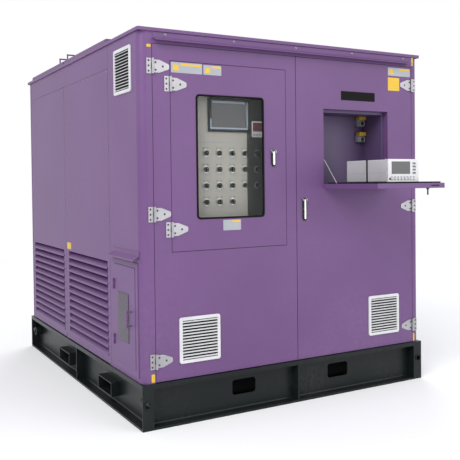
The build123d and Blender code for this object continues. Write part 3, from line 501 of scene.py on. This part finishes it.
# Strips of painted shade in the gaps round the doors and the window door.
frame_gap_shade = [gap_shade_box(door_low.x - gap, door_low.x - 0.4 * mm, door_low.z, door_high.z),
               gap_shade_box(right_high.x + 0.4 * mm, right_high.x + gap, door_low.z, door_high.z),
               gap_shade_box(door_low.x, right_high.x, door_high.z + 0.4 * mm, door_high.z + gap)]
piece("frame_gap_shade", frame_gap_shade, black_rubber_and_gap_shade, "housing")
piece("meeting_gap_shade", [gap_shade_box(door_high.x, door_high.x + 1.6 * mm, door_low.z, door_high.z)],
      black_rubber_and_gap_shade, "left_door_body")
window_gap_shades = [gap_shade_box(window_low.x - gap, window_low.x - 0.4 * mm, window_low.z, window_high.z),
                gap_shade_box(window_high.x + 0.8 * mm, window_high.x + gap, window_low.z, window_high.z),
                gap_shade_box(window_low.x, window_high.x, window_high.z + 0.4 * mm, window_high.z + gap),
                gap_shade_box(window_low.x, window_high.x, window_low.z - gap, window_low.z - 0.4 * mm)]
piece("window_gap_shade_strips", window_gap_shades, black_rubber_and_gap_shade, "left_door_body")

# %% [markdown]
# ## Control panel
#
# Behind the glass are a touch screen, a small digital meter and rows of selector knobs. The
# panel is one painted sheet; a darker end panel and a seam break it up.

# %% Screen, meter and panel trim
panel_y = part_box("control_panel")[0].y
piece("touch_glass", [slab((-0.523, panel_y - 9.4 * mm, 1.650), (-0.289, panel_y - 8 * mm, 1.795), 3 * mm)],
      screen_grey, "housing")
film = [slab((-0.531, panel_y - 9 * mm, 1.640), (-0.281, panel_y - 8 * mm, 1.662), 4 * mm),
        slab((-0.531, panel_y - 9 * mm, 1.662), (-0.523, panel_y - 8 * mm, 1.700), 2 * mm),
        slab((-0.289, panel_y - 9 * mm, 1.662), (-0.278, panel_y - 8 * mm, 1.800), 2 * mm),
        slab((-0.520, panel_y - 10 * mm, 1.790), (-0.300, panel_y - 8 * mm, 1.803), 3 * mm)]
piece("touch_film", film, film_pale, "housing")
piece("meter_rim", [slab((-0.254, panel_y - 9.6 * mm, 1.598), (-0.160, panel_y - 8.8 * mm, 1.692), 4 * mm)],
      case_white, "housing")
piece("meter_glass", [slab((-0.245, panel_y - 10.4 * mm, 1.632), (-0.169, panel_y - 9.6 * mm, 1.684),
                           2 * mm)],
      screen_grey, "housing")
digits = []
for row in range(3):
    for column in range(4):
        x = -0.238 + column * 0.017
        z = 1.672 - row * 0.015
        digits.append(slab((x, panel_y - 10.9 * mm, z - 4 * mm),
                           (x + 9 * mm, panel_y - 10.4 * mm, z + 4 * mm), 1.5 * mm))
piece("meter_digit_blocks", digits, digit_red, "housing")
keys = [slab((-0.243 + i * 0.020, panel_y - 11 * mm, 1.606), (-0.229 + i * 0.020, panel_y - 9.6 * mm, 1.618),
             2 * mm) for i in range(4)]
piece("meter_keys", keys, tab_grey, "housing")
piece("dark_end_panel", [slab((-0.282, panel_y - 1.2 * mm, 1.060), (-0.094, panel_y, 1.955))],
      end_green, "housing")
seams = [slab((-0.740, panel_y - 0.8 * mm, 1.561), (-0.155, panel_y, 1.565)),
         slab((-0.740, panel_y - 0.8 * mm, 1.148), (-0.155, panel_y, 1.151))]
piece("panel_seams", seams, tab_grey, "housing")
lamp_shapes = []
mark_shapes = []
for low, high in islands("knob_plates"):
    middle = (low + high) / 2
    for side in (-1, 1):
        lamp_shapes.append(stud((middle.x + side * 13 * mm, panel_y, middle.z + 29 * mm), (0, -1, 0),
                                3.4 * mm, 1.5 * mm, 12))
    mark_shapes.append(slab((middle.x - 17 * mm, panel_y - 0.5 * mm, middle.z - 33 * mm),
                            (middle.x + 17 * mm, panel_y, middle.z - 27 * mm), 2 * mm))
piece("knob_position_marks", lamp_shapes, black_moulding, "housing")
piece("knob_tally_bars", mark_shapes, tab_grey, "housing")

# %% [markdown]
# ## Plain tabs and the bare name plate
#
# Fabricators rivet and stick small plates on such a box. They stay bare here: only their
# colours and places are kept.


# %% Tabs on the faces
def front_tab(x0, x1, z0, z1, out=0.7 * mm):
    return slab((x0, face_y - out, z0), (x1, face_y, z1), 4 * mm)


raised = 1.2 * mm
piece("window_door_grey_tabs", [front_tab(-0.812, -0.622, 1.933, 1.990),
                                front_tab(-0.614, -0.500, 1.933, 1.987),
                                front_tab(-0.498, -0.382, 1.059, 1.119)],
      tab_grey, "window_door_body")
piece("window_door_yellow_tabs", [front_tab(-0.800, -0.766, 1.945, 1.977, raised),
                                  front_tab(-0.752, -0.626, 1.972, 1.984, raised),
                                  front_tab(-0.602, -0.572, 1.943, 1.972, raised),
                                  front_tab(-0.558, -0.504, 1.972, 1.983, raised),
                                  front_tab(-0.440, -0.386, 1.104, 1.115, raised)],
      tab_yellow, "window_door_body")
piece("post_tabs", [slab((x0, face_y - 0.7 * mm, z0), (x1, face_y, z1), 3 * mm)
                    for x0, x1, z0, z1 in ((-0.954, -0.930, 2.060, 2.075), (-0.950, -0.930, 0.256, 0.300),
                                           (0.944, 0.956, 2.093, 2.146), (0.944, 0.956, 0.256, 0.308))],
      tab_yellow, "housing")
piece("right_door_grey_tabs", [front_tab(0.738, 0.930, 2.015, 2.068)], tab_grey, "right_door_body")
piece("right_door_yellow_tabs", [front_tab(0.738, 0.836, 1.918, 2.003),
                                 front_tab(0.748, 0.782, 2.024, 2.056, raised),
                                 front_tab(0.838, 0.924, 2.052, 2.064, raised)],
      tab_yellow, "right_door_body")
piece("bare_name_plate", [slab((0.352, face_y - 2 * mm, 1.838), (0.624, face_y, 1.894), 3 * mm,
                               soften=0.5 * mm)],
      print_black, "right_door_body")


def side_tab(y0, y1, z0, z1, out=0.7 * mm):
    return slab((left_x - out, y0, z0), (left_x, y1, z1), 4 * mm, facing="X")


piece("side_tabs", [side_tab(0.081, 0.168, 0.882, 0.927)], tab_yellow, "housing")

# %% [markdown]
# ## The instrument on the shelf
#
# The analyser is a light grey case with a white front frame, a dark screen, small keys below
# and beside it, and a black strap round its waist. All of it rides the shelf.

# %% Instrument trim
case_low, case_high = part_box("power_analyser")
case_front = case_low.y + 3 * mm
frame_x0, frame_x1 = case_low.x, case_high.x
base_z = case_low.z
top_z = case_high.z
ring = [slab((frame_x0, case_front - 0.6 * mm, base_z), (frame_x1, case_front + 13 * mm, top_z), 5 * mm,
             soften=1.5 * mm)]
piece("instrument_front_frame", ring, case_white, "shelf_body")
piece("instrument_screen", [slab((frame_x0 + 26 * mm, case_front - 1.6 * mm, base_z + 46 * mm),
                                 (frame_x0 + 168 * mm, case_front - 0.6 * mm, base_z + 118 * mm), 3 * mm)],
      screen_grey, "shelf_body")
key_shapes = []
for column in range(8):
    x = frame_x0 + 22 * mm + column * 24 * mm
    for row in range(2):
        z = base_z + 10 * mm + row * 15 * mm
        key_shapes.append(slab((x, case_front - 3 * mm, z), (x + 11 * mm, case_front - 0.6 * mm, z + 8 * mm),
                               2 * mm))
for row in range(4):
    z = base_z + 48 * mm + row * 19 * mm
    key_shapes.append(slab((frame_x1 - 50 * mm, case_front - 3 * mm, z),
                           (frame_x1 - 26 * mm, case_front - 0.6 * mm, z + 9 * mm), 2 * mm))
piece("instrument_keys", key_shapes, tab_grey, "shelf_body")
piece("instrument_knob", [stud((frame_x0 + 14 * mm, case_front - 0.6 * mm, base_z + 18 * mm), (0, -1, 0),
                               7 * mm, 2.4 * mm, 20, 0.9)], black_moulding, "shelf_body")
waist = (case_low.y + case_high.y) / 2
x0, x1 = frame_x0 + 2 * mm, frame_x1 - 2 * mm
strap_bars = [slab((x0 - 1.6 * mm, waist - 6 * mm, base_z), (x0, waist + 6 * mm, top_z - 1 * mm)),
              slab((x1, waist - 6 * mm, base_z), (x1 + 1.6 * mm, waist + 6 * mm, top_z - 1 * mm)),
              slab((x0 - 1.6 * mm, waist - 6 * mm, top_z - 2 * mm), (x1 + 1.6 * mm, waist + 6 * mm, top_z))]
piece("instrument_strap", strap_bars, black_rubber_and_gap_shade, "shelf_body")
seam_z = base_z + 52 * mm
piece("instrument_side_seams", [slab((x0 - 0.4 * mm, case_front + 20 * mm, seam_z),
                                     (x0, waist - 10 * mm, seam_z + 1.6 * mm)),
                                slab((x0 - 0.4 * mm, waist + 10 * mm, seam_z),
                                     (x0, case_high.y - 10 * mm, seam_z + 1.6 * mm))],
      tab_grey, "shelf_body")

# %% [markdown]
# ## Outlet sockets
#
# Two sockets with yellow lids sit at the back of the pocket in the right door. The lid is a
# rounded plate over each socket body, and the face is a low dark disc.

# %% Outlet sockets in the pocket
sockets = []
lids = []
for low, high in islands("outlet_sockets"):
    lids.append(slab((low.x + 2 * mm, low.y - 4 * mm, high.z - 2 * mm), (high.x - 2 * mm, high.y - 8 * mm,
                     high.z + 22 * mm), 4 * mm))
    middle = (low + high) / 2
    sockets.append(stud((middle.x, low.y, middle.z - 3 * mm), (0, -1, 0), 13 * mm, 2 * mm, 20, 0.9))
piece("socket_lids", lids, socket_yellow, "right_door_body")
piece("socket_faces", sockets, black_moulding, "right_door_body")

# %% [markdown]
# ## Floor, light and camera
#
# A pale floor and broad soft lamps, strongest from the left, show the sheet metal without
# hard glare. The floor fades out with the square of the distance, so that no horizon shows.


# %% Floor and world
def pale_world():
    world = bpy.data.worlds.new("pale_room")
    bpy.context.scene.world = world
    world.use_nodes = True
    tree = world.node_tree
    tree.nodes.clear()
    path = tree.nodes.new("ShaderNodeLightPath")
    seen = tree.nodes.new("ShaderNodeMath")
    seen.operation = "MAXIMUM"
    tree.links.new(path.outputs["Is Camera Ray"], seen.inputs[0])
    mirrored = tree.nodes.new("ShaderNodeMath")
    mirrored.operation = "MAXIMUM"
    tree.links.new(path.outputs["Is Glossy Ray"], mirrored.inputs[0])
    tree.links.new(path.outputs["Is Transmission Ray"], mirrored.inputs[1])
    tree.links.new(mirrored.outputs[0], seen.inputs[1])
    shown = tree.nodes.new("ShaderNodeBackground")
    shown.inputs["Color"].default_value = (1, 1, 1, 1)
    shown.inputs["Strength"].default_value = 1.0
    lit = tree.nodes.new("ShaderNodeBackground")
    lit.inputs["Color"].default_value = (0.93, 0.96, 1.0, 1)
    lit.inputs["Strength"].default_value = 0.62
    mix = tree.nodes.new("ShaderNodeMixShader")
    tree.links.new(seen.outputs[0], mix.inputs[0])
    tree.links.new(lit.outputs[0], mix.inputs[1])
    tree.links.new(shown.outputs[0], mix.inputs[2])
    out = tree.nodes.new("ShaderNodeOutputWorld")
    tree.links.new(mix.outputs[0], out.inputs[0])


pale_world()
floor_shape = bmesh.new()
bmesh.ops.create_grid(floor_shape, x_segments=1, y_segments=1, size=40)
floor_mesh = bpy.data.meshes.new("floor")
floor_shape.to_mesh(floor_mesh)
floor_shape.free()
floor = bpy.data.objects.new("floor", floor_mesh)
bpy.context.scene.collection.objects.link(floor)
floor_finish = Finish("pale_floor", roughness=0.95, Emission_Strength=0.18, Specular_IOR_Level=0.0)
floor_cloud = floor_finish.noise(0.4, 2)
floor_finish.set("Base Color", floor_finish.blend(floor_cloud, (0.85, 0.85, 0.85, 1), (0.87, 0.87, 0.87, 1)))
floor_finish.set("Emission Color", (1, 1, 1, 1))
fade_start, fade_width = 9, 60
across, along = floor_finish.axis("X"), floor_finish.axis("Y")
floor_fade = (across * across + along * along).above(fade_start, fade_width)
floor_finish.set("Alpha", 1 - floor_fade)
floor_mesh.materials.append(floor_finish.material)


# %% Lamps
def lamp(name, place, aim, size, power):
    light = bpy.data.lights.new(name, "AREA")
    light.size = size
    light.energy = power
    made = bpy.data.objects.new(name, light)
    made.location = place
    made.rotation_euler = (Vector(aim) - Vector(place)).to_track_quat("-Z", "Y").to_euler()
    bpy.context.scene.collection.objects.link(made)


middle = (0, 0, 1.1)
lamp("key", (-5.5, -5.0, 6.0), middle, 4.0, 420)
lamp("front_fill", (3.5, -7.0, 3.0), middle, 5.0, 160)
lamp("back_fill", (4.0, 6.0, 5.0), middle, 5.0, 260)

# %% Camera
eye = Vector((-2.436, -4.686, 1.333))
yaw, pitch, roll = radians(29.50), radians(-1.2), radians(-0.65)
ahead = Vector((sin(yaw) * cos(pitch), cos(yaw) * cos(pitch), sin(pitch)))
right = Vector((cos(yaw), -sin(yaw), 0))
up = right.cross(ahead)
tilted_right = right * cos(roll) + up * sin(roll)
tilted_up = up * cos(roll) - right * sin(roll)
camera_data = bpy.data.cameras.new("camera")
camera_data.sensor_width = 36
camera_data.lens = 55.3
camera_data.shift_y = -0.0720
camera = bpy.data.objects.new("camera", camera_data)
basis = Matrix((tilted_right, tilted_up, -ahead)).transposed()
camera.matrix_world = Matrix.Translation(eye) @ basis.to_4x4()
bpy.context.scene.collection.objects.link(camera)
bpy.context.scene.camera = camera
bpy.context.scene.view_settings.view_transform = "Standard"
print("camera at", tuple(round(value, 3) for value in eye), "with lens", camera_data.lens)
